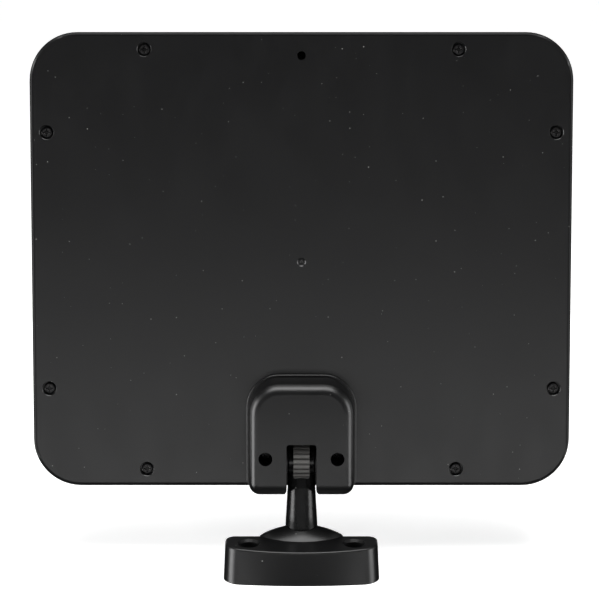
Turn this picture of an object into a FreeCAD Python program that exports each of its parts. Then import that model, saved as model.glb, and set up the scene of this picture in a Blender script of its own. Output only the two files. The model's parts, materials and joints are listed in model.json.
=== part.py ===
"""Digital photo frame on a tilting, swivelling stem with a screw-down base.

Units are millimetres.  +Z is up, the screen faces -Y and the origin is on the
underside of the base, on the stem's swivel axis.  The panel is drawn upright in
its own coordinates (x across, y out of the rear face, z up from its lower edge)
and then swung about the hinge axle to the rest tilt.
"""
import FreeCAD
import Part
import math
import os

os.makedirs("parts", exist_ok=True)

# ---------------------------------------------------------------- driving sizes
PANEL_W = 260.0          # width across the panel
PANEL_H = 219.0          # height of the panel
PANEL_T = 24.0           # thickness, rear face to front face
CORNER_R = 23.0          # outline corner radius
WALL = 2.5               # moulding wall
SPLIT = 14.0             # depth of the rear cover, the bezel makes up the rest
REAR_EDGE_R = 1.8        # edge round of the rear cover
FRONT_EDGE_R = 2.5       # edge round of the bezel
SEAM = 0.35              # chamfer each side of the line where the two covers meet

TILT = 10.0              # rest lean of the panel, top towards -Y, degrees
PIVOT_Z = 53.7           # hinge axle above the underside of the base
PIVOT_UP = 14.5          # hinge axle above the panel's lower edge
PIVOT_OUT = 11.0         # hinge axle behind the panel's rear face

SCREW_TOP_X = 75.0       # case screws in the top and bottom rows
SCREW_ROW = 8.3          # their distance from the panel's edge
SCREW_SIDE_X = 122.0     # case screws beside the display
SCREW_SIDE_Z = 47.7      # their distance from the top and bottom edges
SCREW_BORE_R = 3.3       # counterbore of a case screw
SCREW_BORE_D = 2.9       # its depth

HANG_HOLE_R = 2.1        # hanging hole near the top edge
HANG_HOLE_DROP = 11.2    # its distance below the top edge
HANG_BOSS = 6.0          # length of its bored wall
GATE_Z = 109.0           # moulding gate mark in the middle of the rear cover
GATE_R = 2.1
GATE_DEEP = 0.5

ACTIVE_W = 211.2         # display area
ACTIVE_H = 158.4
CHIN = 36.1              # panel's lower edge to the display area
WINDOW_W = 213.0         # bezel opening
WINDOW_H = 160.2
MODULE_W = 234.0         # display module outline
MODULE_H = 176.0

FLANGE_X = 26.6          # half width of the hinge flange
FLANGE_TOP = 54.7        # its top above the panel's lower edge
FLANGE_T = 2.0
HOUSE_X = 25.6           # half width of the hinge housing at its root
HOUSE_FACE_X = 24.9      # and at its outer face
HOUSE_TOP = 53.4
HOUSE_FACE_TOP = 51.9
HOUSE_BOTTOM = -1.1
HOUSE_OUT = 22.0         # outer face behind the panel's rear face
HOUSE_EDGE_R = 5.2
HOUSE_CROWN_R = 800.0    # the outer face bows this gently from top to bottom
HOUSE_CROWN_Z = 10.0     # height at which the bow stands furthest out
HOUSE_CORNER_R = 15.2    # top corners of the housing's outline
HOUSE_FOOT_R = 5.4       # and its bottom corners
FLANGE_CORNER_R = 16.0
SLOT_X = 7.15            # half width of the stem slot
SLOT_TOP = 23.7
CLAMP_X = 17.15          # the two deep screw holes in the housing
CLAMP_Z = 16.7
CLAMP_R = 3.3
CLAMP_SEAT = 6.0         # depth of their heads' seat, from the panel's rear face
LEAF_X = 3.4             # half width of the detent spring
LEAF_Y = 17.0            # inner wall that it is screwed to
LEAF_SCREW_Z = 34.0

AXLE_R = 2.5
AXLE_X = 12.6            # half length of the axle
KNUCKLE_X = 6.6          # half width of the stem's knuckle
KNUCKLE_R = 6.6
WHEEL_X = 3.85           # half width of the toothed wheel in its middle
WHEEL_R = 9.4            # over the teeth
TEETH = 24
TOOTH_DEPTH = 1.0

STEM_TOP_R = 6.6
STEM_FOOT_R = 7.7
STEM_FOOT_Z = 21.3
SEAT_Z = 14.6            # floor of the stem's pocket in the base

HOLE_Y = 14.7            # line of the base's screw holes, in front of the stem
BASE_TOP = 16.85         # height of the base's flat top
BASE_X_TOP = 36.5        # half width at the top
BASE_X_BOT = 37.3        # and at the underside
BASE_FAR_TOP = 4.8       # straight edge
BASE_FAR_BOT = 4.3
BASE_NEAR_TOP = 26.7     # crown of the bowed edge
BASE_NEAR_BOT = 27.3
BOW_TOP_R = 100.0
BOW_BOT_R = 250.0
BASE_FAR_CORNER = 4.6
BASE_NEAR_CORNER = 9.0
DOME_R = 18.8            # the dome's section in front of the stem is this round
DOME_SLOPE = 43.6        # its slope at the foot, degrees
DOME_X = 20.0            # half length of its foot
DOME_TAIL = 14.4         # reach of its foot behind the base's straight edge
BASE_HOLE_X = 25.2
BASE_HOLE_R = 2.25
BASE_SINK_R = 5.5
BASE_BOSS_R = 6.6        # wall round each of the base's screw holes
PLATE_T = 3.2            # depth of the recess for the base plate and pad
PAD_T = 1.0              # thickness of the rubber pad
PEG_X = 13.5             # posts that hold the base plate
PEG_R = 2.8
HUB_R = 7.6              # the plate's rounded tongue under the stem

SPIGOT_R = 4.0           # lower journal of the stem
BUSH_R = 5.0             # bush round it
BUSH_LEN = 6.0
WASHER_R = 6.2           # spring washer and swivel washer
M3_R = 1.5               # thread of the 3 mm screws
M3_CLEAR_R = 1.6         # and the holes that they pass through
M4_R = 2.0
SMALL_R = 1.2            # thread of the small screws

BUTTON_X = [-62.0, -51.0, -40.0, -29.0, -18.0]
BUTTON_W = 8.0
BUTTON_T = 4.2
BUTTON_Y = -7.0
BUTTON_RISE = -0.15      # the caps sit just below the edge
BUTTON_GAP = 0.3         # clearance round a cap
BUTTON_FLANGE = 0.9      # lip that keeps a cap in
SWITCH_H = 3.4           # body of a switch
SWITCH_KEY = 0.9         # its key above the body

CARD_Z = (95.0, 120.0)   # card slot in the panel's side
USB_Z = 82.0
JACK_Z = 68.5            # power inlet
PORT_Y = -10.6           # face of the circuit board that carries the ports
IR_X = 104.0             # remote-control window in the bezel
IR_Z = 17.0
CLIP_X = 121.6           # screws of the display's clips
CLIP_Z = (70.0, 160.0)

# ---------------------------------------------------------------- small helpers
X = FreeCAD.Vector(1, 0, 0)
Y = FreeCAD.Vector(0, 1, 0)
Z = FreeCAD.Vector(0, 0, 1)
ORIGIN = FreeCAD.Vector(0, 0, 0)


def vec(x, y, z):
    return FreeCAD.Vector(x, y, z)


def box(x0, x1, y0, y1, z0, z1):
    return Part.makeBox(x1 - x0, y1 - y0, z1 - z0, vec(x0, y0, z0))


def parallel_edges(shape, axis):
    """Straight edges of a shape that run along one axis."""
    found = []
    for edge in shape.Edges:
        if edge.Curve.TypeId != "Part::GeomLine":
            continue
        run = edge.Vertexes[-1].Point.sub(edge.Vertexes[0].Point)
        run.normalize()
        if abs(abs(run.dot(axis)) - 1.0) < 1e-6:
            found.append(edge)
    return found


def round_box(x0, x1, y0, y1, z0, z1, axis, r):
    """Box whose four edges along an axis are rounded."""
    block = box(x0, x1, y0, y1, z0, z1)
    return block.makeFillet(r, parallel_edges(block, axis))


def face_edges(shape, axis, level):
    """Edges that lie in the plane at a level along an axis."""
    found = []
    for edge in shape.Edges:
        low = edge.BoundBox
        near = {"x": (low.XMin, low.XMax), "y": (low.YMin, low.YMax), "z": (low.ZMin, low.ZMax)}[axis]
        if abs(near[0] - level) < 1e-3 and abs(near[1] - level) < 1e-3:
            found.append(edge)
    return found


def rod_y(x, z, r, y0, y1):
    return Part.makeCylinder(r, y1 - y0, vec(x, y0, z), Y)


def rod_x(y, z, r, x0, x1):
    return Part.makeCylinder(r, x1 - x0, vec(x0, y, z), X)


def rod_z(x, y, r, z0, z1):
    return Part.makeCylinder(r, z1 - z0, vec(x, y, z0), Z)


def cone_y(x, z, r0, r1, y0, y1):
    return Part.makeCone(r0, r1, y1 - y0, vec(x, y0, z), Y)


def fuse_all(shapes):
    whole = shapes[0]
    for extra in shapes[1:]:
        whole = whole.fuse(extra)
    return whole.removeSplitter()


def cut_all(shape, tools):
    for tool in tools:
        shape = shape.cut(tool)
    return shape


def outline(half_x, z0, z1, r_top, r_low, y):
    """Closed wire in a plane of constant y, with its own top and bottom corner radii."""
    k = math.sqrt(0.5)
    pts = [
        vec(-half_x + r_low, y, z0),
        vec(half_x - r_low, y, z0),
        vec(half_x - r_low + r_low * k, y, z0 + r_low - r_low * k),
        vec(half_x, y, z0 + r_low),
        vec(half_x, y, z1 - r_top),
        vec(half_x - r_top + r_top * k, y, z1 - r_top + r_top * k),
        vec(half_x - r_top, y, z1),
        vec(-half_x + r_top, y, z1),
        vec(-half_x + r_top - r_top * k, y, z1 - r_top + r_top * k),
        vec(-half_x, y, z1 - r_top),
        vec(-half_x, y, z0 + r_low),
        vec(-half_x + r_low - r_low * k, y, z0 + r_low - r_low * k),
    ]
    edges = [
        Part.makeLine(pts[0], pts[1]),
        Part.Arc(pts[1], pts[2], pts[3]).toShape(),
        Part.makeLine(pts[3], pts[4]),
        Part.Arc(pts[4], pts[5], pts[6]).toShape(),
        Part.makeLine(pts[6], pts[7]),
        Part.Arc(pts[7], pts[8], pts[9]).toShape(),
        Part.makeLine(pts[9], pts[10]),
        Part.Arc(pts[10], pts[11], pts[0]).toShape(),
    ]
    return Part.Wire(edges)


def pan_screw(x, z, y_seat, head_r, head_h, shank_r, length, out):
    """Cross-recess pan-head screw along Y.  `out` is +1 when its head faces +Y."""
    head = Part.makeCylinder(head_r, head_h)
    head = head.makeFillet(head_h * 0.45, face_edges(head, "z", head_h))
    arm = head_r * 0.62
    half = head_r * 0.14
    deep = head_h * 0.62
    recess = box(-arm, arm, -half, half, head_h - deep, head_h + 1).fuse(
        box(-half, half, -arm, arm, head_h - deep, head_h + 1))
    pit = Part.makeCone(half * 1.2, arm * 0.62, deep, vec(0, 0, head_h - deep), Z)
    head = head.cut(recess).cut(pit)
    shank = Part.makeCylinder(shank_r, length, vec(0, 0, -length), Z)
    shank = shank.makeChamfer(shank_r * 0.4, face_edges(shank, "z", -length))
    screw = head.fuse(shank).removeSplitter()
    screw.rotate(ORIGIN, X, -90 if out > 0 else 90)
    screw.translate(vec(x, y_seat, z))
    return screw


def on_panel(shape):
    """Swing a shape from the panel's own coordinates to the rest pose."""
    moved = shape.copy()
    moved.translate(vec(0, -PIVOT_OUT, PIVOT_Z - PIVOT_UP))
    moved.rotate(vec(0, 0, PIVOT_Z), X, TILT)
    return moved


def save(name, shape, swung=True):
    solid = on_panel(shape) if swung else shape
    if not solid.isValid():
        print("INVALID", name)
    solid.exportStep("parts/" + name + ".step")
    print(name, "solids", len(solid.Solids), "volume %.0f" % solid.Volume)


def group(shapes):
    return Part.makeCompound(shapes)


# ---------------------------------------------------------------- base
def base_outline(half_x, far_y, near_y, bow_r, far_corner, near_corner, z):
    """D-shaped plan: straight far edge, bowed near edge, four rounded corners."""
    side_y = near_y - half_x * half_x / (2.0 * bow_r)
    flat = Part.makePolygon([
        vec(half_x, side_y, z), vec(half_x, far_y, z), vec(-half_x, far_y, z), vec(-half_x, side_y, z)])
    bow = Part.Arc(vec(-half_x, side_y, z), vec(0, near_y, z), vec(half_x, side_y, z)).toShape()
    plan = Part.Face(Part.Wire(flat.Edges + [bow]))
    block = plan.extrude(vec(0, 0, 5))
    uprights = parallel_edges(block, Z)
    block = block.makeFillet(far_corner, [e for e in uprights if e.BoundBox.YMax < far_y + 1])
    uprights = parallel_edges(block, Z)
    near_pair = [e for e in uprights if abs(e.BoundBox.YMax - side_y) < 1e-3]
    block = block.makeFillet(near_corner, near_pair)
    floor = [f for f in block.Faces if abs(f.BoundBox.ZMax - z) < 1e-4]
    return floor[0].OuterWire


base_low = base_outline(BASE_X_BOT, BASE_FAR_BOT, BASE_NEAR_BOT, BOW_BOT_R,
                        BASE_FAR_CORNER, BASE_NEAR_CORNER, 0.0)
base_high = base_outline(BASE_X_TOP, BASE_FAR_TOP, BASE_NEAR_TOP, BOW_TOP_R,
                         BASE_FAR_CORNER, BASE_NEAR_CORNER, BASE_TOP)
base_body = Part.makeLoft([base_low, base_high], True, True)
base_body = base_body.makeFillet(1.1, face_edges(base_body, "z", BASE_TOP))


def dome_ring(slope):
    """Level outline of the dome where its front section slopes by so many degrees."""
    k = math.sin(math.radians(slope)) / math.sin(math.radians(DOME_SLOPE))
    h = DOME_R * (math.cos(math.radians(slope)) - math.cos(math.radians(DOME_SLOPE)))
    crest = DOME_R * (1.0 - math.cos(math.radians(DOME_SLOPE)))
    half = DOME_X * k ** 1.15
    mid = BASE_FAR_TOP * k ** 0.8
    ahead = DOME_R * math.sin(math.radians(slope)) - mid
    behind = DOME_TAIL * (1.0 - h / crest) ** 2 + 0.3
    pts = []
    for i in range(36):
        turn = math.pi * i / 18.0
        reach = ahead if i < 18 else -behind
        pts.append(vec(half * math.cos(turn), mid + reach * abs(math.sin(turn)) ** 1.6, BASE_TOP + h))
    curve = Part.BSplineCurve()
    curve.interpolate(pts, PeriodicFlag=True)
    return Part.Wire([curve.toShape()])


dome = Part.Face(dome_ring(DOME_SLOPE)).extrude(vec(0, 0, -BASE_TOP))
dome_rings = [dome_ring(DOME_SLOPE - 4.5 * i) for i in range(9)]
dome = dome.fuse(Part.makeLoft(dome_rings, True, False))

core_low = base_outline(BASE_X_BOT - WALL, BASE_FAR_BOT + WALL, BASE_NEAR_BOT - WALL, BOW_BOT_R,
                        BASE_FAR_CORNER - 2, BASE_NEAR_CORNER - 2, 3.2)
core_high = base_outline(BASE_X_TOP - WALL, BASE_FAR_TOP + WALL, BASE_NEAR_TOP - WALL, BOW_TOP_R,
                         BASE_FAR_CORNER - 2, BASE_NEAR_CORNER - 2, BASE_TOP - WALL)
base_core = Part.makeLoft([core_low, core_high], True, True)
base_core = base_core.fuse(Part.Face(core_low).extrude(vec(0, 0, -5)))
solid_base = base_body.fuse(dome)
base_shell = solid_base.cut(base_core)
for side in (-1, 1):
    base_shell = base_shell.fuse(
        rod_z(side * BASE_HOLE_X, HOLE_Y, BASE_BOSS_R, PLATE_T, BASE_TOP - 0.6).common(base_body))
base_shell = base_shell.fuse(rod_z(0, 0, STEM_FOOT_R + 2.2, PLATE_T, BASE_TOP + 9).common(solid_base))
plate_pegs = [(-PEG_X, HOLE_Y + 1.0), (PEG_X, HOLE_Y + 1.0)]
for px, py in plate_pegs:
    base_shell = base_shell.fuse(rod_z(px, py, PEG_R, PLATE_T, BASE_TOP - 1.0))
for side in (-1, 1):
    hx = side * BASE_HOLE_X
    base_shell = base_shell.cut(rod_z(hx, HOLE_Y, BASE_HOLE_R, -1, 30))
    relief = BASE_SINK_R - 1.0
    base_shell = base_shell.cut(rod_z(hx, HOLE_Y, relief, 8.0, 30))
    sink = Part.makeCone(relief, BASE_SINK_R, 1.2, vec(hx, HOLE_Y, BASE_TOP - 1.2), Z)
    base_shell = base_shell.cut(sink)
    base_shell = base_shell.cut(rod_z(hx, HOLE_Y, BASE_SINK_R, BASE_TOP, 30))
for px, py in plate_pegs:
    base_shell = base_shell.cut(rod_z(px, py, SMALL_R, 0, 12.0))
base_shell = base_shell.cut(rod_z(0, 0, HUB_R, -1, PLATE_T))
base_shell = base_shell.cut(box(-HUB_R, HUB_R, 0, BASE_FAR_TOP + WALL + 1, -1, PLATE_T))
base_shell = base_shell.cut(rod_z(0, 0, STEM_FOOT_R + 0.35, SEAT_Z, 40.0))
base_shell = base_shell.cut(rod_z(0, 0, BUSH_R, 0.0, 30.0))
base_shell = base_shell.cut(rod_z(0, 0, WASHER_R + 0.8, 0.0, SEAT_Z - BUSH_LEN))
save("base_shell", base_shell, swung=False)

plan_in = base_outline(BASE_X_BOT - WALL - 0.3, BASE_FAR_BOT + WALL + 0.3, BASE_NEAR_BOT - WALL - 0.3,
                       BOW_BOT_R, BASE_FAR_CORNER - 2.2, BASE_NEAR_CORNER - 2.2, 0.0)


def under_base(z0, z1):
    """Sheet that fits the recess under the base, with its tongue under the stem."""
    sheet = Part.Face(plan_in).extrude(vec(0, 0, z1 - z0))
    sheet.translate(vec(0, 0, z0))
    sheet = sheet.fuse(rod_z(0, 0, HUB_R - 0.3, z0, z1))
    sheet = sheet.fuse(box(0.3 - HUB_R, HUB_R - 0.3, 0, BASE_FAR_TOP + WALL + 1, z0, z1))
    return sheet.removeSplitter()


base_pad = under_base(0.0, PAD_T)
base_plate = under_base(PAD_T, PLATE_T)
for side in (-1, 1):
    base_pad = base_pad.cut(rod_z(side * BASE_HOLE_X, HOLE_Y, BASE_HOLE_R, -1, 5))
    base_plate = base_plate.cut(rod_z(side * BASE_HOLE_X, HOLE_Y, BASE_HOLE_R, -1, 5))
peg_screws = []
for px, py in plate_pegs:
    base_pad = base_pad.cut(rod_z(px, py, 2.6, -1, 5))
    base_plate = base_plate.cut(rod_z(px, py, SMALL_R + 0.1, -1, 5))
    head_h = 1.1
    base_plate = base_plate.cut(Part.makeCone(2.4, SMALL_R + 0.1, head_h, vec(px, py, PAD_T), Z))
    flat_head = Part.makeCone(2.3, SMALL_R, head_h, vec(px, py, PAD_T), Z)
    flat_head = flat_head.fuse(rod_z(px, py, SMALL_R, PAD_T + head_h, 10.5)).removeSplitter()
    for turn in (0, 90):
        drive = box(-1.3, 1.3, -0.3, 0.3, 0.0, 1.7)
        drive.rotate(ORIGIN, Z, turn)
        drive.translate(vec(px, py, 0))
        flat_head = flat_head.cut(drive)
    peg_screws.append(flat_head)
save("base_pad", base_pad, swung=False)
save("base_plate", base_plate, swung=False)
save("base_plate_screws", group(peg_screws), swung=False)

# The swivel: the stem's spigot turns in a bush and is drawn down on its washers by one screw.
bush_low = SEAT_Z - BUSH_LEN
spigot_low = bush_low - 1.0
screw_seat = spigot_low - 1.2
stem_seat = SEAT_Z + 0.8
swivel_bush = rod_z(0, 0, BUSH_R, bush_low, SEAT_Z).cut(rod_z(0, 0, SPIGOT_R + 0.05, 0, SEAT_Z + 1))
save("swivel_bush", swivel_bush, swung=False)
friction_washer = rod_z(0, 0, 7.5, SEAT_Z, SEAT_Z + 0.7).cut(rod_z(0, 0, SPIGOT_R + 0.3, 0, SEAT_Z + 2))
save("friction_washer", friction_washer, swung=False)
spring_washer = rod_z(0, 0, WASHER_R, bush_low - 0.9, bush_low).cut(rod_z(0, 0, SPIGOT_R + 0.3, 0, SEAT_Z))
spring_washer = spring_washer.cut(Part.makeTorus(5.2, 0.35, vec(0, 0, bush_low - 0.9), Z))
save("spring_washer", spring_washer, swung=False)

# ---------------------------------------------------------------- stem
taper_top = PIVOT_Z - 12.0
stem = Part.makeCone(STEM_FOOT_R, STEM_TOP_R, taper_top - STEM_FOOT_Z, vec(0, 0, STEM_FOOT_Z), Z)
stem = stem.fuse(rod_z(0, 0, STEM_FOOT_R, stem_seat, STEM_FOOT_Z))
stem = stem.fuse(rod_z(0, 0, STEM_TOP_R, taper_top, PIVOT_Z))
knuckle = rod_x(0, PIVOT_Z, KNUCKLE_R, -KNUCKLE_X, KNUCKLE_X)
knuckle = knuckle.makeFillet(0.9, face_edges(knuckle, "x", KNUCKLE_X) + face_edges(knuckle, "x", -KNUCKLE_X))
stem = stem.fuse(knuckle)
# The toothed wheel stands proud of the knuckle and ends in a rounded tongue below the axle.
tongue = round_box(-WHEEL_X, WHEEL_X, -20, 20, PIVOT_Z - 9.0, PIVOT_Z + 20, Y, WHEEL_X - 0.1)
tongue = tongue.fuse(box(-WHEEL_X, WHEEL_X, -20, 20, PIVOT_Z, PIVOT_Z + 20))
wheel = rod_x(0, PIVOT_Z, WHEEL_R, -WHEEL_X, WHEEL_X).common(tongue)
pitch = 2.0 * math.pi * WHEEL_R / TEETH
root = WHEEL_R - TOOTH_DEPTH
mouth = WHEEL_R + 0.3
root_z = pitch * 0.13
mouth_z = pitch * 0.26
vee = Part.Face(Part.makePolygon([
    vec(-WHEEL_X, root, -root_z), vec(-WHEEL_X, mouth, -mouth_z), vec(-WHEEL_X, mouth, mouth_z),
    vec(-WHEEL_X, root, root_z), vec(-WHEEL_X, root, -root_z)]))
grooves = []
for i in range(TEETH):
    turn = 360.0 * (i + 0.5) / TEETH
    if 240.0 < turn < 300.0:
        continue
    groove = vee.extrude(vec(2 * WHEEL_X, 0, 0))
    groove.rotate(ORIGIN, X, turn)
    groove.translate(vec(0, 0, PIVOT_Z))
    grooves.append(groove)
stem = stem.cut(wheel)
axle_bore = rod_x(0, PIVOT_Z, AXLE_R + 0.05, -20, 20)
stem = stem.cut(axle_bore)
save("detent_wheel", cut_all(wheel, grooves).cut(axle_bore), swung=False)
stem = stem.fuse(rod_z(0, 0, SPIGOT_R, spigot_low, stem_seat))
stem = stem.cut(rod_z(0, 0, M4_R, screw_seat, SEAT_Z + 4.0))
stem = stem.removeSplitter()
save("stem_post", stem, swung=False)

swivel_washer = rod_z(0, 0, WASHER_R, screw_seat, spigot_low).cut(rod_z(0, 0, M4_R + 0.1, 0, SEAT_Z))
save("swivel_washer", swivel_washer, swung=False)
swivel_screw = pan_screw(0, 0, 0, 4.0, 2.8, M4_R, 11.0, 1)
swivel_screw.rotate(ORIGIN, X, -90)
swivel_screw.translate(vec(0, 0, screw_seat))
save("swivel_screw", swivel_screw, swung=False)

# ---------------------------------------------------------------- hinge
flange = outline(FLANGE_X, 0.4, FLANGE_TOP, FLANGE_CORNER_R, 2.0, 0.0)
flange = Part.Face(flange).extrude(vec(0, FLANGE_T, 0))
flange = flange.makeFillet(0.5, face_edges(flange, "y", FLANGE_T))
slot_cut = box(-SLOT_X, SLOT_X, -1, 40, -20, SLOT_TOP)
flange = flange.cut(slot_cut)

house = Part.makeLoft([
    outline(HOUSE_X, HOUSE_BOTTOM, HOUSE_TOP, HOUSE_CORNER_R, HOUSE_FOOT_R, FLANGE_T),
    outline(HOUSE_FACE_X, HOUSE_BOTTOM + 0.2, HOUSE_FACE_TOP, HOUSE_CORNER_R - 0.7, HOUSE_FOOT_R - 0.2,
            HOUSE_OUT + 0.5),
], True, True)
house = house.common(rod_x(HOUSE_OUT - HOUSE_CROWN_R, HOUSE_CROWN_Z, HOUSE_CROWN_R, -40, 40))
outer = max(house.Faces, key=lambda face: face.CenterOfMass.y)
house = house.makeFillet(HOUSE_EDGE_R, outer.OuterWire.Edges)
inner_r = HOUSE_CORNER_R - WALL
house_core = Part.makeLoft([
    outline(HOUSE_X - WALL, HOUSE_BOTTOM + WALL, HOUSE_TOP - WALL, inner_r, HOUSE_FOOT_R - 2.0,
            FLANGE_T - 1),
    outline(HOUSE_FACE_X - WALL, HOUSE_BOTTOM + WALL, HOUSE_FACE_TOP - WALL, inner_r - 0.8,
            HOUSE_FOOT_R - 2.2, HOUSE_OUT - WALL - 1.0),
], True, True)
house_core = house_core.makeFillet(2.4, face_edges(house_core, "y", HOUSE_OUT - WALL - 1.0))
boss_xz = [(-18.0, 31.0), (18.0, 31.0), (-15.0, 46.0), (15.0, 46.0)]
inside = [box(-SLOT_X - 2.2, SLOT_X + 2.2, FLANGE_T, HOUSE_OUT, -1, SLOT_TOP + 2.0)]
inside += [rod_y(sx * CLAMP_X, CLAMP_Z, CLAMP_R + 1.4, FLANGE_T, HOUSE_OUT) for sx in (-1, 1)]
inside += [rod_y(bx, bz, 3.3, FLANGE_T, HOUSE_OUT) for bx, bz in boss_xz]
inside += [rod_x(PIVOT_OUT, PIVOT_UP, AXLE_R + 2.3, -AXLE_X, AXLE_X)]
inside += [rod_y(0, 38.0, 3.0, FLANGE_T + 5.0, HOUSE_OUT)]
solid_house = house
house = house.cut(house_core)
for rib in inside:
    house = house.fuse(rib.common(solid_house))
slot_mouth = box(-SLOT_X, SLOT_X, -1, 40, -20, SLOT_TOP)
slot_mouth = slot_mouth.makeFillet(1.4, [
    e for e in parallel_edges(slot_mouth, Y) if e.BoundBox.ZMin > SLOT_TOP - 1])
flare = Part.Face(Part.makePolygon([
    vec(-SLOT_X - 2.4, 0, -3.5), vec(SLOT_X + 2.4, 0, -3.5), vec(SLOT_X - 0.2, 0, 1.4),
    vec(-SLOT_X + 0.2, 0, 1.4), vec(-SLOT_X - 2.4, 0, -3.5)])).extrude(vec(0, 40, 0))
flare.translate(vec(0, FLANGE_T + 4.0, 0))
drum_room = rod_x(PIVOT_OUT, PIVOT_UP, WHEEL_R + 0.8, -SLOT_X, SLOT_X)
house = cut_all(house, [slot_mouth, flare, drum_room])
house = house.cut(box(-3.9, 3.9, FLANGE_T + 1.0, 17.5, SLOT_TOP - 1.0, 38.5))
house = house.cut(rod_x(PIVOT_OUT, PIVOT_UP, AXLE_R, -AXLE_X, AXLE_X))
for sx in (-1, 1):
    house = house.cut(rod_y(sx * CLAMP_X, CLAMP_Z, CLAMP_R, CLAMP_SEAT, 40))
    house = house.cut(rod_y(sx * CLAMP_X, CLAMP_Z, M3_CLEAR_R, 0, 40))
    flange = flange.cut(rod_y(sx * CLAMP_X, CLAMP_Z, M3_CLEAR_R, -1, 4))
for bx, bz in boss_xz:
    house = house.cut(rod_y(bx, bz, M3_R, 0, 11.0))
    flange = flange.cut(rod_y(bx, bz, M3_CLEAR_R, -1, 4))
house = house.cut(rod_y(0, LEAF_SCREW_Z, 1.0, LEAF_Y, LEAF_Y + 4.0))
house = house.removeSplitter()
save("hinge_housing", house)
save("hinge_flange", flange.removeSplitter())

axle = rod_x(PIVOT_OUT, PIVOT_UP, AXLE_R, -AXLE_X, AXLE_X)
axle = axle.makeChamfer(0.4, face_edges(axle, "x", AXLE_X) + face_edges(axle, "x", -AXLE_X))
save("hinge_axle", axle)
thrust = []
for side in (-1, 1):
    a = side * (KNUCKLE_X + 0.1)
    b = side * SLOT_X
    ring = rod_x(PIVOT_OUT, PIVOT_UP, 6.0, min(a, b), max(a, b))
    thrust.append(ring.cut(rod_x(PIVOT_OUT, PIVOT_UP, AXLE_R, -20, 20)))
save("hinge_washers", group(thrust))

nose_z = PIVOT_UP + WHEEL_R + 0.35
leaf_t = 0.5
leaf_low = nose_z + 1.2
nose_top = leaf_low + leaf_t
leaf_out = LEAF_Y + 0.4
leaf = box(-LEAF_X, LEAF_X, leaf_out - leaf_t, leaf_out, leaf_low, 37.5)
leaf = leaf.fuse(box(-LEAF_X, LEAF_X, 10.6, leaf_out, leaf_low, nose_top))
nose = Part.Face(Part.makePolygon([
    vec(-LEAF_X, PIVOT_OUT - 1.0, nose_top), vec(-LEAF_X, PIVOT_OUT, nose_z),
    vec(-LEAF_X, PIVOT_OUT + 1.0, nose_top), vec(-LEAF_X, PIVOT_OUT - 1.0, nose_top)]))
leaf = leaf.fuse(nose.extrude(vec(2.0 * LEAF_X, 0, 0)))
leaf = leaf.cut(rod_y(0, LEAF_SCREW_Z, 1.1, 10, 20)).removeSplitter()
save("detent_spring", leaf)
save("detent_screw", pan_screw(0, LEAF_SCREW_Z, leaf_out - leaf_t, 2.0, 1.4, 1.0, 3.6, -1))

save("hinge_clamp_screws", group([
    pan_screw(sx * CLAMP_X, CLAMP_Z, CLAMP_SEAT, 2.8, 2.0, M3_R, 9.8, 1) for sx in (-1, 1)]))
plate = round_box(-33, 33, -4.0, -WALL, 7.0, 56.0, Y, 3.0)
for bx, bz in boss_xz:
    plate = plate.cut(rod_y(bx, bz, M3_CLEAR_R, -5, 0))
for sx in (-1, 1):
    plate = plate.cut(rod_y(sx * CLAMP_X, CLAMP_Z, M3_R, -5, 0))
save("hinge_reinforcement", plate)
save("hinge_plate_screws", group([
    pan_screw(bx, bz, -4.0, 2.7, 1.8, M3_R, 14.0, -1) for bx, bz in boss_xz]))

# ---------------------------------------------------------------- panel covers
half_w = PANEL_W / 2.0
case_xz = []
for sx in (-1, 1):
    case_xz.append((sx * SCREW_TOP_X, PANEL_H - SCREW_ROW))
    case_xz.append((sx * SCREW_SIDE_X, PANEL_H - SCREW_SIDE_Z))
    case_xz.append((sx * SCREW_SIDE_X, SCREW_SIDE_Z))
    case_xz.append((sx * SCREW_TOP_X, SCREW_ROW))
hang_z = PANEL_H - HANG_HOLE_DROP

cover = round_box(-half_w, half_w, -SPLIT, 0, 0, PANEL_H, Y, CORNER_R)
cover = cover.makeFillet(REAR_EDGE_R, face_edges(cover, "y", 0))
cover = cover.makeChamfer(SEAM, face_edges(cover, "y", -SPLIT))
cover = cover.cut(round_box(-half_w + WALL, half_w - WALL, -SPLIT - 1, -WALL, WALL, PANEL_H - WALL, Y,
                            CORNER_R - WALL))
for cx, cz in case_xz:
    cover = cover.fuse(rod_y(cx, cz, 4.5, -12.0, -WALL + 0.5))
cover = cover.fuse(rod_y(0, hang_z, 4.2, -HANG_BOSS, -WALL + 0.5))
for cx, cz in case_xz:
    cover = cover.cut(rod_y(cx, cz, M3_CLEAR_R, -20, 1))
    cover = cover.cut(rod_y(cx, cz, SCREW_BORE_R, -SCREW_BORE_D, 1))
    cover = cover.cut(cone_y(cx, cz, SCREW_BORE_R, SCREW_BORE_R + 0.5, -0.25, 0.25))
cover = cover.cut(rod_y(0, hang_z, HANG_HOLE_R, -20, 1))
cover = cover.cut(cone_y(0, GATE_Z, GATE_R - 0.7, GATE_R, -GATE_DEEP, 0))
gate_nub = rod_y(0, GATE_Z, 0.8, -GATE_DEEP - 0.2, 0.1)
cover = cover.fuse(gate_nub.makeFillet(0.35, face_edges(gate_nub, "y", 0.1)))
for bx, bz in boss_xz:
    cover = cover.cut(rod_y(bx, bz, M3_CLEAR_R, -5, 1))
for sx in (-1, 1):
    cover = cover.cut(rod_y(sx * CLAMP_X, CLAMP_Z, M3_CLEAR_R, -5, 1))
hole_w = BUTTON_W / 2 + BUTTON_GAP
hole_t = BUTTON_T / 2 + BUTTON_GAP
for bx in BUTTON_X:
    cover = cover.cut(round_box(bx - hole_w, bx + hole_w, BUTTON_Y - hole_t, BUTTON_Y + hole_t,
                                PANEL_H - 5, PANEL_H + 5, Z, 1.6))
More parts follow.
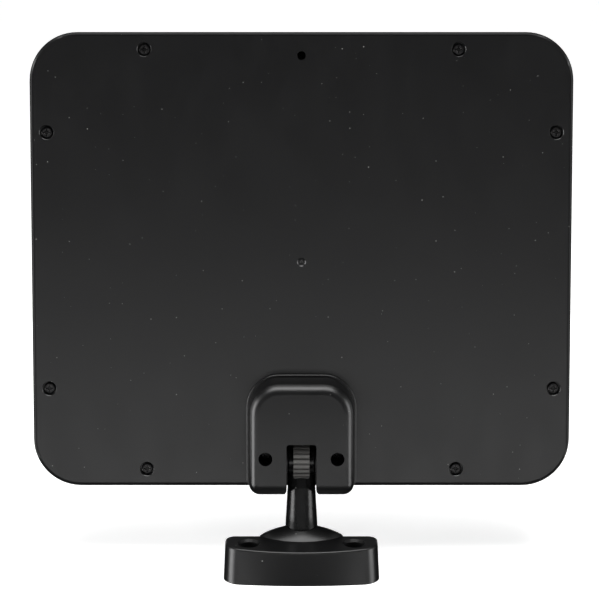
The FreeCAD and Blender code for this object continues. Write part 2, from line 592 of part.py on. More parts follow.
cover = cover.cut(round_box(120, 140, PORT_Y + 0.2, PORT_Y + 3.0, CARD_Z[0], CARD_Z[1], X, 0.6))
cover = cover.cut(round_box(120, 140, PORT_Y - 0.1, PORT_Y + 4.5, USB_Z - 4.4, USB_Z + 4.4, X, 1.0))
cover = cover.cut(rod_x(PORT_Y + 3.8, JACK_Z, 3.6, 120, 140))
cover = cover.removeSplitter()
save("rear_cover", cover)

bezel = round_box(-half_w, half_w, -PANEL_T, -SPLIT, 0, PANEL_H, Y, CORNER_R)
bezel = bezel.makeFillet(FRONT_EDGE_R, face_edges(bezel, "y", -PANEL_T))
bezel = bezel.makeChamfer(SEAM, face_edges(bezel, "y", -SPLIT))
bezel = bezel.cut(round_box(-half_w + WALL, half_w - WALL, -PANEL_T + WALL, -SPLIT + 1, WALL,
                            PANEL_H - WALL, Y, CORNER_R - WALL))
# A thin lip stands up from the bezel inside the rear cover's wall.
lip_out = WALL + 0.15
lip_in = lip_out + 0.8
lip = round_box(-half_w + lip_out, half_w - lip_out, -SPLIT - 3.0, -SPLIT + 1.3, lip_out,
                PANEL_H - lip_out, Y, CORNER_R - lip_out)
lip = lip.cut(round_box(-half_w + lip_in, half_w - lip_in, -SPLIT - 4, -SPLIT + 4, lip_in,
                        PANEL_H - lip_in, Y, CORNER_R - lip_in))
for foot in ((-half_w + 1, -half_w + lip_in, 60, 160), (half_w - lip_in, half_w - 1, 60, 160),
             (-90, 90, 1, lip_in), (-90, 90, PANEL_H - lip_in, PANEL_H - 1)):
    x0, x1, z0, z1 = foot
    lip = lip.fuse(box(x0, x1, -SPLIT - 3, -SPLIT - 0.5, z0, z1))
lip = lip.cut(box(60, half_w, -SPLIT, -SPLIT + 4, 62, 122))
bezel = bezel.fuse(lip)
for cx, cz in case_xz:
    bezel = bezel.fuse(rod_y(cx, cz, 3.5, -PANEL_T + WALL - 0.5, -12.0))
    bezel = bezel.cut(rod_y(cx, cz, M3_R, -19.5, -10))
win_z0 = CHIN - (WINDOW_H - ACTIVE_H) / 2.0
window_cut = round_box(-WINDOW_W / 2, WINDOW_W / 2, -40, 0, win_z0, win_z0 + WINDOW_H, Y, 1.2)
bezel = bezel.cut(window_cut)
bezel = bezel.cut(rod_y(IR_X, IR_Z, 3.0, -40, 0))
for side in (-1, 1):
    for cz in CLIP_Z:
        px = side * CLIP_X
        bezel = bezel.fuse(box(px - 2.4, px + 2.4, -PANEL_T + WALL - 0.5, -16.0, cz - 4, cz + 4))
        bezel = bezel.cut(rod_y(px, cz, SMALL_R, -20.5, -10))
bezel = bezel.removeSplitter()
save("front_bezel", bezel)

save("case_screws", group([
    pan_screw(cx, cz, -SCREW_BORE_D, 2.8, 1.9, M3_R, 15.5, 1) for cx, cz in case_xz]))

# ---------------------------------------------------------------- buttons
cap_top = PANEL_H + BUTTON_RISE
inner_top = PANEL_H - WALL       # inside of the cover's top wall
stalk_low = inner_top - 2.6
half_cap = BUTTON_W / 2
for index, bx in enumerate(BUTTON_X):
    cap = round_box(bx - half_cap, bx + half_cap, BUTTON_Y - BUTTON_T / 2, BUTTON_Y + BUTTON_T / 2,
                    inner_top - 0.8, cap_top, Z, 1.3)
    cap = cap.makeFillet(0.4, face_edges(cap, "z", cap_top))
    foot_x = half_cap + BUTTON_FLANGE
    foot_y = BUTTON_T / 2 + 0.8
    foot = round_box(bx - foot_x, bx + foot_x, BUTTON_Y - foot_y, BUTTON_Y + foot_y,
                     inner_top - 1.4, inner_top - 0.2, Z, 1.5)
    cap = cap.fuse(foot).fuse(rod_z(bx, BUTTON_Y, 1.4, stalk_low, inner_top - 1.0))
    save("button_%d" % (index + 1), cap.removeSplitter())

# Each stalk stands just over the key of a switch on a narrow board.
board_top = stalk_low - 0.7 - SWITCH_H - SWITCH_KEY
BUTTON_BOARD_T = 1.2
PEG_Y = -8.6
board_low = board_top - BUTTON_BOARD_T
peg_x = [-68.1, -11.9]
button_board = box(-70.2, -9.8, -11.0, -3.0, board_low, board_top)
switches = []
for bx in BUTTON_X:
    can = round_box(bx - 3.0, bx + 3.0, BUTTON_Y - 3.0, BUTTON_Y + 3.0, board_top, board_top + SWITCH_H,
                    Z, 0.4)
    key = rod_z(bx, BUTTON_Y, 1.6, board_top + SWITCH_H, board_top + SWITCH_H + SWITCH_KEY)
    switches.append(can.fuse(key))
save("tact_switches", group(switches))
cradle = []
pegs = []
for px in peg_x:
    button_board = button_board.cut(rod_z(px, PEG_Y, 1.1, 190, 215))
    post = box(px - 2.1, px + 2.1, -11.0, -WALL, board_low - 3.0, board_low)
    cradle.append(post.cut(rod_z(px, PEG_Y, 1.1, 190, 215)))
    peg = rod_z(px, PEG_Y, 2.0, board_top, board_top + 1.3)
    peg = peg.fuse(rod_z(px, PEG_Y, 1.1, board_low - 2.6, board_top))
    peg = peg.cut(box(px - 1.3, px + 1.3, PEG_Y - 0.3, PEG_Y + 0.3, board_top + 0.6, board_top + 2))
    pegs.append(peg.removeSplitter())
save("button_board", button_board)
save("button_board_posts", group(cradle))
save("button_board_screws", group(pegs))

# ---------------------------------------------------------------- display stack
act_cz = CHIN + ACTIVE_H / 2.0
glass_w = WINDOW_W + 8.0
glass_h = WINDOW_H + 7.8
guide_w = 222.0
guide_h = 165.0
glass_y = -PANEL_T + WALL        # each layer starts where the one in front of it ends
gasket_y = glass_y + 1.5
frame_y = gasket_y + 0.8
cell_y = frame_y + 0.4
film_y = cell_y + 1.2
guide_y = film_y + 0.6
guide_end = guide_y + 2.6
module_y = -13.8


def stack(width, height, y0, y1, r=0.8):
    """Sheet centred on the display area."""
    return round_box(-width / 2, width / 2, y0, y1, act_cz - height / 2, act_cz + height / 2, Y, r)


save("display_window", stack(glass_w, glass_h, glass_y, gasket_y))
gasket = stack(glass_w, glass_h, gasket_y, frame_y).cut(stack(WINDOW_W + 2, WINDOW_H + 2, -30, 0))
save("window_gasket", gasket)
front_frame = stack(MODULE_W, MODULE_H, frame_y, module_y - 0.1, 1.5)
front_frame = front_frame.cut(stack(MODULE_W - 0.8, MODULE_H - 0.8, cell_y, -10, 1.1))
front_frame = front_frame.cut(stack(WINDOW_W + 1, WINDOW_H + 1, -30, -10))
save("lcd_front_frame", front_frame)
save("lcd_cell", stack(224.0, 170.0, cell_y, film_y))
save("diffuser_sheets", stack(224.0, 168.0, film_y, guide_y))
save("light_guide", stack(guide_w, guide_h, guide_y, guide_end))
guide_low = act_cz - guide_h / 2.0
strip = box(-108, 108, guide_y, guide_y + 2.2, guide_low - 1.6, guide_low - 1.0)
LED_COUNT = 24
led_pitch = 8.7
led_x = -led_pitch * LED_COUNT / 2.0
lamps = []
for i in range(LED_COUNT):
    x0 = led_x + led_pitch * i
    lamps.append(box(x0, x0 + 4.0, guide_y + 0.3, guide_y + 1.9, guide_low - 1.0, guide_low - 0.1))
save("led_strip", fuse_all([strip] + lamps))
chassis = stack(MODULE_W - 1.0, MODULE_H - 1.0, cell_y + 0.1, module_y, 1.0)
chassis = chassis.cut(stack(MODULE_W - 2.2, MODULE_H - 2.2, -30, guide_end + 0.1, 0.6))
save("lcd_rear_chassis", chassis)

clips = []
clip_screws = []
spans = [(112.0, 117.8, -13.8, -13.2), (117.2, 117.8, -16.0, -13.2), (117.2, 123.8, -16.0, -15.4)]
for side in (-1, 1):
    for cz in CLIP_Z:
        bends = []
        for inner, outer, y0, y1 in spans:
            low_x = min(side * inner, side * outer)
            bends.append(box(low_x, low_x + outer - inner, y0, y1, cz - 4, cz + 4))
        clip = fuse_all(bends).cut(rod_y(side * CLIP_X, cz, SMALL_R + 0.1, -17, -12))
        clips.append(clip)
        clip_screws.append(pan_screw(side * CLIP_X, cz, -15.4, 2.1, 1.3, SMALL_R, 4.6, 1))
save("lcd_clips", group(clips))
save("lcd_clip_screws", group(clip_screws))

# ---------------------------------------------------------------- electronics
BOARD = (62.0, 126.0, 60.0, 157.0)
board_back = PORT_Y
board_y = board_back - 1.6
fix_xz = [(66.0, 64.0), (66.0, 153.0), (115.0, 150.0), (107.0, 64.0)]
sheet = stack(200.0, 150.0, module_y, module_y + 0.2)
board = round_box(BOARD[0], BOARD[1], board_y, board_back, BOARD[2], BOARD[3], Y, 1.0)
posts = []
board_fix = []
for fx, fz in fix_xz:
    sheet = sheet.cut(rod_y(fx, fz, 3.2, -20, 0))
    board = board.cut(rod_y(fx, fz, 1.4, -20, 0))
    posts.append(rod_y(fx, fz, 2.4, module_y, board_y).cut(rod_y(fx, fz, SMALL_R, -20, 0)))
    board_fix.append(pan_screw(fx, fz, board_back, 2.2, 1.4, SMALL_R, 2.9, 1))
sheet = sheet.cut(box(100, 130, -20, 0, 140, 170))
sheet = sheet.cut(box(100, 130, -20, 0, 60, 80))
save("insulation_sheet", sheet)
save("main_board", board.removeSplitter())
save("board_standoffs", group(posts))
save("board_screws", group(board_fix))

save("processor_chip", round_box(72, 90, board_back, board_back + 1.6, 82, 100, Y, 0.4))
save("memory_chips", group([
    box(71, 81, board_back, board_back + 1.1, 105, 123),
    box(84, 94, board_back, board_back + 1.1, 105, 123)]))
passives = [rod_y(103.0, 78.0, 3.2, board_back, board_back + 6.5),
            rod_y(103.0, 88.0, 3.2, board_back, board_back + 6.5),
            round_box(94, 101, board_back, board_back + 4.0, 66, 73, Y, 1.2),
            box(73, 85, board_back, board_back + 3.4, 68, 72.6),
            box(98, 110, board_back, board_back + 2.0, 128, 133)]
save("board_components", group(passives))
save("coin_cell", rod_y(79.0, 138.0, 10.0, board_back + 0.6, board_back + 3.8))
holder = box(67.5, 90.5, board_back, board_back + 0.6, 132, 144)
holder = holder.fuse(box(67.5, 68.5, board_back, board_back + 3.0, 132, 144))
holder = holder.fuse(box(89.5, 90.5, board_back, board_back + 3.0, 132, 144))
save("coin_cell_holder", holder)

jack = box(113.0, 127.2, board_back, board_back + 7.6, JACK_Z - 4.5, JACK_Z + 4.5)
jack = jack.fuse(rod_x(PORT_Y + 3.8, JACK_Z, 3.2, 127.0, 129.0))
jack = jack.cut(rod_x(PORT_Y + 3.8, JACK_Z, 1.9, 118.5, 140))
jack = jack.fuse(rod_x(PORT_Y + 3.8, JACK_Z, 0.65, 117.0, 127.6))
save("dc_jack", jack)
usb = round_box(118.0, 128.4, board_back, board_back + 4.0, USB_Z - 3.9, USB_Z + 3.9, X, 0.8)
usb = usb.cut(round_box(119.5, 140, board_back + 0.4, board_back + 3.6, USB_Z - 3.5, USB_Z + 3.5, X, 0.6))
usb = usb.fuse(box(119.0, 127.0, board_back + 1.5, board_back + 2.5, USB_Z - 2.6, USB_Z + 2.6))
save("usb_socket", usb)
card = box(99.0, 127.2, board_back, board_back + 3.1, CARD_Z[0] - 1.0, CARD_Z[1] + 1.0)
card = card.cut(box(101.5, 140, board_back + 0.35, board_back + 2.75, CARD_Z[0] + 0.4, CARD_Z[1] - 0.4))
save("card_socket", card)

# Flat cables: the buttons' ribbon runs behind the display and up to their board.
ribbon_y0 = module_y + 0.3
ribbon_y1 = ribbon_y0 + 0.3
ribbon = box(-44, -36, ribbon_y0, ribbon_y1, 70, 200)
ribbon = ribbon.fuse(box(-44, 71, ribbon_y0, ribbon_y1, 70, 78))
ribbon = ribbon.fuse(box(63, 71, ribbon_y0, -12.3, 70, 78))
ribbon = ribbon.fuse(box(-44, -36, ribbon_y0, -11.9, 199.7, 200.0))
ribbon = ribbon.fuse(box(-44, -36, -12.2, -11.9, 199.7, board_top - 0.2))
save("button_ribbon", ribbon.removeSplitter())
flex_y1 = ribbon_y0 + 0.25
flex = box(20, 50, ribbon_y0, flex_y1, 120, 128).fuse(box(46, 61.8, ribbon_y0, flex_y1, 120, 128))
flex = flex.fuse(box(61.4, 61.7, ribbon_y0, -10.2, 120, 128)).fuse(box(61.4, 69, -10.6, -10.2, 124.5, 128))
save("lcd_flex", flex.removeSplitter())

ir_window = rod_y(IR_X, IR_Z, 3.0, -PANEL_T + 0.1, -PANEL_T + WALL)
ir_window = ir_window.fuse(rod_y(IR_X, IR_Z, 4.2, -PANEL_T + WALL, -PANEL_T + WALL + 1.0)).removeSplitter()
save("ir_window", ir_window)
ir_body = round_box(IR_X - 3, IR_X + 3, -PANEL_T + 3.9, -PANEL_T + 8.4, IR_Z - 3.5, IR_Z + 3.5, Y, 0.5)
ir_body = ir_body.fuse(Part.makeSphere(2.0, vec(IR_X, -PANEL_T + 5.5, IR_Z)))
ir_board = box(IR_X - 7, IR_X + 7, -PANEL_T + 8.4, -PANEL_T + 9.6, IR_Z - 6, IR_Z + 6)
save("ir_receiver", ir_body.removeSplitter())
save("ir_board", ir_board)
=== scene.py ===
"""Looks for the digital photo frame: materials, small surface details, studio, camera."""
import bpy
import json
import math
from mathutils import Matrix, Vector


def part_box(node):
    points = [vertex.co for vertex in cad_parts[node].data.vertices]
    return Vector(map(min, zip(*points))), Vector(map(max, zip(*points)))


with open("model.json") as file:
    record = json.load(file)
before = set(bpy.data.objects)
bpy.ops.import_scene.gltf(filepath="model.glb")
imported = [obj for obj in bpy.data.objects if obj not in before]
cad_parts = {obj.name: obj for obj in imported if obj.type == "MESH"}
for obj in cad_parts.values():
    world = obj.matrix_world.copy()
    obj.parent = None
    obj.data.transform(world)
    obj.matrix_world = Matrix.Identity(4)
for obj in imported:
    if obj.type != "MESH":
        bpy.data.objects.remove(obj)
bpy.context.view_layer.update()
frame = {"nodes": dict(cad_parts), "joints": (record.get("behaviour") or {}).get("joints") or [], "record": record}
nodes = frame["nodes"]
joints = {j["name"]: j for j in frame["joints"]}
MM = 0.001

# the panel's own axes, from its joints
UP = -Vector(joints["power_button_press"]["axis"]).normalized()
ACROSS = Vector((1.0, 0.0, 0.0))
cover_low, cover_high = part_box("rear_cover")
PANEL_MID = (Vector(cover_low) + Vector(cover_high)) / 2.0
PANEL_HALF_W = 0.130
PANEL_HALF_H = 0.1095


# ---------------------------------------------------------------- shader helpers
class Graph:
    """Builds one node material a step at a time."""

    def __init__(self, name):
        self.mat = bpy.data.materials.new(name)
        self.mat.use_nodes = True
        self.tree = self.mat.node_tree
        self.tree.nodes.clear()
        self.out = self.add("ShaderNodeOutputMaterial")
        self.bsdf = self.add("ShaderNodeBsdfPrincipled")
        self.link(self.bsdf.outputs[0], self.out.inputs[0])
        self.coord = self.add("ShaderNodeTexCoord").outputs["Object"]

    def add(self, kind, **props):
        node = self.tree.nodes.new(kind)
        for key, value in props.items():
            setattr(node, key, value)
        return node

    def link(self, a, b):
        self.tree.links.new(a, b)

    def stretch(self, x, y, z):
        """Object coordinates scaled along each axis."""
        node = self.add("ShaderNodeMapping")
        node.inputs["Scale"].default_value = (x, y, z)
        self.link(self.coord, node.inputs["Vector"])
        return node.outputs[0]

    def noise(self, size_mm, detail=3.0, rough=0.5, coord=None):
        """Noise whose features are about size_mm across."""
        node = self.add("ShaderNodeTexNoise")
        node.inputs["Scale"].default_value = 1.0 / (size_mm * MM)
        node.inputs["Detail"].default_value = detail
        node.inputs["Roughness"].default_value = rough
        self.link(coord or self.coord, node.inputs["Vector"])
        return node.outputs[0]

    def cells(self, size_mm, feature="F1", coord=None):
        node = self.add("ShaderNodeTexVoronoi", feature=feature)
        node.inputs["Scale"].default_value = 1.0 / (size_mm * MM)
        self.link(coord or self.coord, node.inputs["Vector"])
        return node

    def ramp(self, value, low, high, out_low=0.0, out_high=1.0, smooth=True):
        node = self.add("ShaderNodeMapRange")
        node.interpolation_type = "SMOOTHSTEP" if smooth else "LINEAR"
        node.inputs["From Min"].default_value = low
        node.inputs["From Max"].default_value = high
        node.inputs["To Min"].default_value = out_low
        node.inputs["To Max"].default_value = out_high
        self.link(value, node.inputs["Value"])
        return node.outputs[0]

    def math(self, op, a, b):
        node = self.add("ShaderNodeMath", operation=op)
        for slot, item in zip(node.inputs, (a, b)):
            if isinstance(item, (int, float)):
                slot.default_value = item
            else:
                self.link(item, slot)
        return node.outputs[0]

    def mix(self, factor, a, b):
        """Colour mix.  a and b are colours or sockets."""
        node = self.add("ShaderNodeMix", data_type="RGBA")
        self.link(factor, node.inputs[0])
        for slot, item in ((node.inputs[6], a), (node.inputs[7], b)):
            if isinstance(item, tuple):
                slot.default_value = (*item, 1.0)
            else:
                self.link(item, slot)
        return node.outputs[2]

    def along(self, axis, origin):
        """Distance from a point along an axis."""
        shift = self.add("ShaderNodeVectorMath", operation="SUBTRACT")
        self.link(self.coord, shift.inputs[0])
        shift.inputs[1].default_value = origin
        dot = self.add("ShaderNodeVectorMath", operation="DOT_PRODUCT")
        self.link(shift.outputs[0], dot.inputs[0])
        dot.inputs[1].default_value = axis
        return dot.outputs["Value"]

    def bump(self, height, strength, depth_mm, normal=None):
        node = self.add("ShaderNodeBump")
        node.inputs["Strength"].default_value = strength
        node.inputs["Distance"].default_value = depth_mm * MM
        self.link(height, node.inputs["Height"])
        if normal is not None:
            self.link(normal, node.inputs["Normal"])
        return node.outputs[0]

    def set(self, **values):
        for key, value in values.items():
            socket = self.bsdf.inputs[key.replace("_", " ")]
            if isinstance(value, bpy.types.NodeSocket):
                self.link(value, socket)
            elif isinstance(value, tuple):
                socket.default_value = (*value, 1.0) if len(value) == 3 else value
            else:
                socket.default_value = value
        return self.mat


def moulded_graph(name, colour, rough, grain_mm=0.35, grain=0.12, dust=0.5, spread=0.08):
    """Spark-eroded moulded plastic: fine grain, slow sheen changes, faint rubs, a few dust specks."""
    g = Graph(name)
    slow = g.noise(38.0, 2.0)
    fine = g.noise(grain_mm, 2.0, 0.6)
    pores = g.noise(grain_mm * 0.4, 1.0, 0.5)
    darker = tuple(c * (1.0 - spread) for c in colour)
    lighter = tuple(min(1.0, c * (1.0 + spread)) for c in colour)
    tint = g.mix(g.ramp(slow, 0.3, 0.7), darker, lighter)
    tint = g.mix(g.ramp(fine, 0.35, 0.75, 0.0, 0.5), tint, tuple(min(1.0, c * 1.5) for c in colour))
    # dust: some cells hold one small pale speck
    cell = g.cells(3.2)
    split = g.add("ShaderNodeSeparateColor")
    g.link(cell.outputs["Color"], split.inputs[0])
    chosen = g.ramp(split.outputs[0], 0.66, 0.68)
    size = g.ramp(split.outputs[1], 0.0, 1.0, 0.03, 0.09, smooth=False)
    speck = g.math("LESS_THAN", cell.outputs["Distance"], size)
    soft = g.math("MULTIPLY", g.math("MULTIPLY", speck, chosen), dust)
    tint = g.mix(soft, tint, (0.34, 0.34, 0.33))
    rub = g.noise(14.0, 4.0, 0.6, g.stretch(1.0, 1.0, 0.45))
    sheen = g.ramp(rub, 0.3, 0.75, rough - 0.015, rough + 0.02)
    sheen = g.math("ADD", sheen, g.math("MULTIPLY", soft, 0.3))
    height = g.math("ADD", fine, g.math("MULTIPLY", pores, 0.5))
    g.set(Base_Color=tint, Roughness=sheen, Normal=g.bump(height, grain, 0.05), IOR=1.5)
    return g


def moulded(*look):
    return moulded_graph(*look).mat


def panel_cover(name, colour, rough):
    """The moulded plastic of the rear cover, with painted shade along its outer edge: its specular level drops
    there to take away the highlight that the rounded edge catches.
    """
    g = moulded_graph(name, colour, rough, 0.30, 0.08, 0.55)
    wide = g.math("ABSOLUTE", g.along(ACROSS, PANEL_MID), 0.0)
    tall = g.along(UP, PANEL_MID)
    inner, outer = 2.2 * MM, 1.2 * MM
    side = g.ramp(wide, PANEL_HALF_W - inner, PANEL_HALF_W - outer)
    top = g.ramp(tall, PANEL_HALF_H - inner, PANEL_HALF_H - outer)
    edge = g.math("MAXIMUM", side, top)
    # painted shade: specular level falls from 0.5 to 0.12 within about 2 mm of the outline, so the rounded rim
    # shows no highlight
    return g.set(Specular_IOR_Level=g.ramp(edge, 0.0, 1.0, 0.5, 0.12, smooth=False))


def metal(name, colour, rough, run=(1.0, 1.0, 18.0), grain=0.15, stain=(0.35, 0.33, 0.3)):
    """Plated or drawn metal: fine drawn lines along one axis, cloudy tarnish, small nicks."""
    g = Graph(name)
    lines = g.noise(2.2, 3.0, 0.6, g.stretch(*run))
    cloud = g.noise(6.0, 3.0, 0.55)
    tarnish = tuple(c * s * 1.6 for c, s in zip(colour, stain))
    tint = g.mix(g.ramp(cloud, 0.45, 0.75, 0.0, 0.45), colour, tarnish)
    sheen = g.ramp(lines, 0.3, 0.7, rough - 0.07, rough + 0.1)
    nick = g.cells(1.4)
    pit = g.ramp(nick.outputs["Distance"], 0.0, 0.22)
    normal = g.bump(lines, grain, 0.03)
    normal = g.bump(pit, 0.10, 0.02, normal)
    return g.set(Base_Color=tint, Roughness=sheen, Metallic=1.0, Normal=normal)


def screw_black():
    """Black oxide steel: dark, oily sheen, pale steel on its sharp edges, partly driver wear and partly a painted
    highlight on the head's rim and the cross's rims.
    """
    g = Graph("screw_black")
    cloud = g.noise(1.6, 4.0, 0.6)
    edge = g.add("ShaderNodeNewGeometry").outputs["Pointiness"]
    # sharp convex edges get pale steel: partly driver wear, partly a painted highlight
    wear_and_highlight = g.math("MULTIPLY", g.ramp(edge, 0.53, 0.60), g.ramp(g.noise(0.7, 3.0, 0.6), 0.40, 0.60))
    tint = g.mix(g.ramp(cloud, 0.35, 0.7), (0.006, 0.006, 0.007), (0.014, 0.013, 0.013))
    tint = g.mix(g.math("MULTIPLY", wear_and_highlight, 0.8), tint, (0.32, 0.31, 0.30))
    sheen = g.ramp(cloud, 0.3, 0.7, 0.30, 0.42)
    return g.set(Base_Color=tint, Roughness=sheen, Metallic=0.4, Normal=g.bump(cloud, 0.15, 0.03))


def rubber():
    g = Graph("rubber")
    fine = g.noise(0.5, 3.0, 0.7)
    slow = g.noise(8.0, 3.0)
    tint = g.mix(g.ramp(slow, 0.3, 0.7), (0.018, 0.018, 0.018), (0.04, 0.039, 0.038))
    sheen = g.ramp(fine, 0.3, 0.7, 0.72, 0.9)
    return g.set(Base_Color=tint, Roughness=sheen, Normal=g.bump(fine, 0.35, 0.08))


def clear_glass():
    """Display window: clear, with faint wiping marks in its polish."""
    g = Graph("clear_glass")
    smear = g.noise(30.0, 4.0, 0.6, g.stretch(1.0, 1.0, 3.0))
    sheen = g.ramp(smear, 0.45, 0.75, 0.02, 0.07)
    tint = g.mix(g.ramp(smear, 0.3, 0.8), (0.96, 0.98, 0.98), (0.90, 0.94, 0.94))
    return g.set(Base_Color=tint, Roughness=sheen, Transmission_Weight=1.0, IOR=1.5,
                 Normal=g.bump(smear, 0.01, 0.02))


def display_face():
    """Switched-off liquid-crystal face: blue-black, with its fine pixel rows."""
    g = Graph("display_face")
    pixel = g.cells(0.3)
    tone = g.mix(g.ramp(pixel.outputs["Distance"], 0.1, 0.7), (0.012, 0.015, 0.024), (0.004, 0.005, 0.008))
    cloud = g.noise(70.0, 2.0)
    tone = g.mix(g.ramp(cloud, 0.3, 0.7, 0.0, 0.5), tone, (0.010, 0.014, 0.020))
    sheen = g.ramp(cloud, 0.3, 0.7, 0.16, 0.24)
    normal = g.bump(pixel.outputs["Distance"], 0.04, 0.01)
    return g.set(Base_Color=tone, Roughness=sheen, IOR=1.5, Normal=normal)


def circuit_board():
    """Green solder mask over copper tracks, with plated rings."""
    g = Graph("circuit_board")
    tracks = g.cells(3.2, "DISTANCE_TO_EDGE", g.stretch(1.0, 1.0, 1.9))
    line = g.ramp(tracks.outputs["Distance"], 0.03, 0.06, 1.0, 0.0)
    pads = g.cells(4.6)
    ring = g.ramp(pads.outputs["Distance"], 0.10, 0.13, 1.0, 0.0)
    tone = g.mix(line, (0.012, 0.13, 0.055), (0.03, 0.23, 0.10))
    tone = g.mix(g.math("MULTIPLY", ring, 0.8), tone, (0.55, 0.50, 0.36))
    sheen = g.ramp(g.noise(3.0), 0.3, 0.7, 0.24, 0.4)
    normal = g.bump(g.math("ADD", line, ring), 0.3, 0.04)
    return g.set(Base_Color=tone, Roughness=sheen, Normal=normal, Coat_Weight=0.4, Coat_Roughness=0.15)


def film(name, colour, rough):
    """Thin flexible film with fine conductors along it."""
    g = Graph(name)
    lines = g.noise(0.6, 1.0, 0.4, g.stretch(1.0, 1.0, 6.0))
    tone = g.mix(g.ramp(lines, 0.45, 0.55), colour, tuple(c * 0.7 for c in colour))
    sheen = g.ramp(g.noise(6.0), 0.3, 0.7, rough - 0.06, rough + 0.08)
    return g.set(Base_Color=tone, Roughness=sheen, Normal=g.bump(lines, 0.2, 0.03))


def lens(name, colour):
    """Deep red infrared window."""
    g = Graph(name)
    haze = g.noise(1.2, 3.0)
    tone = g.mix(g.ramp(haze, 0.3, 0.7), colour, tuple(c * 1.6 for c in colour))
    return g.set(Base_Color=tone, Roughness=g.ramp(haze, 0.3, 0.7, 0.08, 0.16), Coat_Weight=0.6,
                 Normal=g.bump(haze, 0.03, 0.02))


COVER = (0.0042, 0.0042, 0.0044)
finishes = {
    "cover_black": panel_cover("cover_plastic", COVER, 0.29),
    "bezel_black": moulded("bezel_plastic", (0.005, 0.005, 0.0053), 0.30, 0.30, 0.08, 0.4),
    "hinge_black": moulded("hinge_plastic", COVER, 0.33, 0.32, 0.08, 0.6),
    "base_black": moulded("base_plastic", COVER, 0.33, 0.32, 0.08, 0.6),
    "stem_black": moulded("stem_plastic", (0.0038, 0.0038, 0.0040), 0.27, 0.32, 0.06, 0.6),
    # the detent wheel: a lighter grey than the black plastics
    "wheel_grey": moulded("wheel_nylon", (0.075, 0.073, 0.070), 0.38, 0.30, 0.10, 0.2),
    "button_black": moulded("button_plastic", (0.014, 0.014, 0.0145), 0.34, 0.25, 0.08, 0.3),
    "chip_black": moulded("chip_epoxy", (0.02, 0.02, 0.021), 0.5, 0.2, 0.2, 0.2),
    "film_black": film("film_black", (0.04, 0.04, 0.042), 0.4),
    "acetal": moulded("acetal", (0.70, 0.69, 0.65), 0.4, 0.5, 0.08, 0.1, 0.04),
    "diffuser_white": moulded("diffuser", (0.85, 0.85, 0.85), 0.5, 0.4, 0.05, 0.0, 0.03),
    "acrylic": moulded("acrylic", (0.80, 0.86, 0.88), 0.1, 2.0, 0.03, 0.0, 0.03),
    "black_screw": screw_black(),
    "zinc_steel": metal("zinc_steel", (0.60, 0.60, 0.58), 0.3),
    "spring_steel": metal("spring_steel", (0.42, 0.42, 0.44), 0.26, (18.0, 1.0, 1.0)),
    "tin_plate": metal("tin_plate", (0.62, 0.62, 0.64), 0.34, (1.0, 1.0, 12.0)),
    "brass_bush": metal("brass", (0.72, 0.52, 0.24), 0.28),
    "rubber_black": rubber(),
    "foam_black": rubber(),
    "clear_glass": clear_glass(),
    "panel_glass": display_face(),
    "pcb_green": circuit_board(),
    "film_amber": film("film_amber", (0.45, 0.20, 0.035), 0.3),
    "ir_dark": lens("ir_window_red", (0.035, 0.004, 0.006)),
}

for part in frame["record"]["subparts"]:
    held = nodes[part["node"]].data
    held.materials.clear()
    held.materials.append(finishes[part["material_slot"]])

# ---------------------------------------------------------------- studio
FLOOR_GLOW = 0.6          # keeps the floor white, as a light table does
WORLD_LIGHT = 0.25
CARD_X = 3.0              # low bright card behind the camera, seen only in reflections
CARD_Y = 2.6
CARD_SPAN = (-0.32, 0.20)
CARD_GLOW = 2.0
LIGHTS = [
    ("top_box", (0.0, 0.20, 1.35), (1.2, 0.8), 18.0),
    ("left_box", (1.5, 0.45, 0.20), (0.8, 1.4), 28.0),
    ("right_box", (-1.5, 0.45, 0.20), (0.8, 1.4), 17.0),
    ("low_front", (0.0, -2.6, 0.02), (3.0, 0.5), 7.0),
]


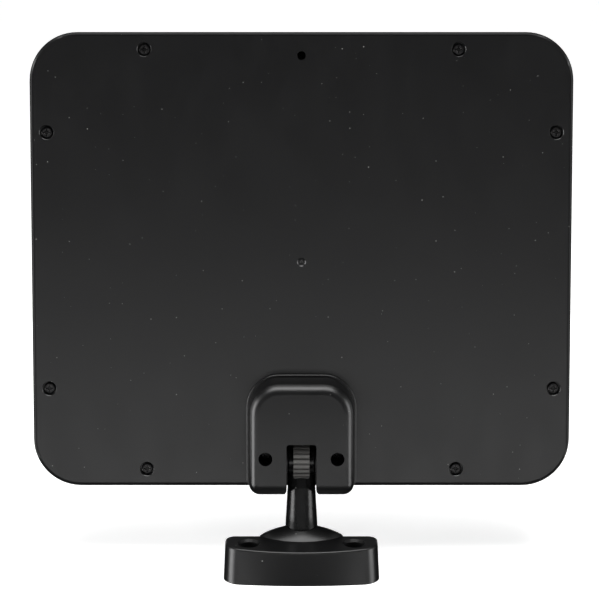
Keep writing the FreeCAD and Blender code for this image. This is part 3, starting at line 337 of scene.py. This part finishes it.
def studio():
    floor_mesh = bpy.data.meshes.new("floor")
    half = 6.0
    floor_mesh.from_pydata([(-half, -half, 0), (half, -half, 0), (half, half, 0), (-half, half, 0)], [],
                           [(0, 1, 2, 3)])
    floor = bpy.data.objects.new("floor", floor_mesh)
    bpy.context.scene.collection.objects.link(floor)
    g = Graph("floor_paint")
    cloud = g.noise(400.0, 2.0)
    floor_mesh.materials.append(g.set(
        Base_Color=g.mix(g.ramp(cloud, 0.3, 0.7), (0.90, 0.90, 0.90), (0.92, 0.92, 0.92)),
        Roughness=0.9, Emission_Color=(1.0, 1.0, 1.0), Emission_Strength=FLOOR_GLOW))
    floor.visible_glossy = False

    world = bpy.data.worlds.new("studio")
    bpy.context.scene.world = world
    world.use_nodes = True
    back = world.node_tree.nodes["Background"]
    back.inputs[0].default_value = (1.0, 1.0, 1.0, 1.0)
    back.inputs[1].default_value = WORLD_LIGHT
    world.cycles_visibility.glossy = False

    card_mesh = bpy.data.meshes.new("low_card")
    low, high = CARD_SPAN
    card_mesh.from_pydata([(-CARD_X, CARD_Y, low), (CARD_X, CARD_Y, low), (CARD_X, CARD_Y, high),
                           (-CARD_X, CARD_Y, high)], [], [(0, 1, 2, 3)])
    card = bpy.data.objects.new("low_card", card_mesh)
    bpy.context.scene.collection.objects.link(card)
    g = Graph("card_glow")
    card_mesh.materials.append(g.set(
        Base_Color=(0.0, 0.0, 0.0), Roughness=g.ramp(g.noise(500.0), 0.3, 0.7, 0.8, 0.9),
        Emission_Color=(1.0, 1.0, 1.0), Emission_Strength=CARD_GLOW))
    g.mat.cycles.emission_sampling = "NONE"
    card.visible_camera = False
    card.visible_diffuse = False
    card.visible_shadow = False

    for name, place, size, watts in LIGHTS:
        data = bpy.data.lights.new(name, "AREA")
        data.shape = "RECTANGLE"
        data.size, data.size_y = size
        data.energy = watts
        lamp = bpy.data.objects.new(name, data)
        bpy.context.scene.collection.objects.link(lamp)
        lamp.location = place
        lamp.visible_camera = False
        aim = Vector((0.0, 0.0, 0.10)) - Vector(place)
        lamp.rotation_mode = "QUATERNION"
        lamp.rotation_quaternion = aim.to_track_quat("-Z", "Y")


studio()

# ---------------------------------------------------------------- camera
CAMERA_DROP = math.radians(15.6)      # how far the view looks down
CAMERA_RANGE = 1.0
AIM_HEIGHT = 0.1311
CAMERA_ASIDE = 0.00094
camera_data = bpy.data.cameras.new("camera")
camera_data.lens = 125.4
camera_data.sensor_width = 36.0
camera = bpy.data.objects.new("camera", camera_data)
bpy.context.scene.collection.objects.link(camera)
look = Vector((0.0, -math.cos(CAMERA_DROP), -math.sin(CAMERA_DROP)))
camera.location = Vector((CAMERA_ASIDE, 0.0, AIM_HEIGHT)) - look * CAMERA_RANGE
camera.rotation_mode = "QUATERNION"
camera.rotation_quaternion = look.to_track_quat("-Z", "Y")
bpy.context.scene.camera = camera
bpy.context.scene.view_settings.view_transform = "Standard"
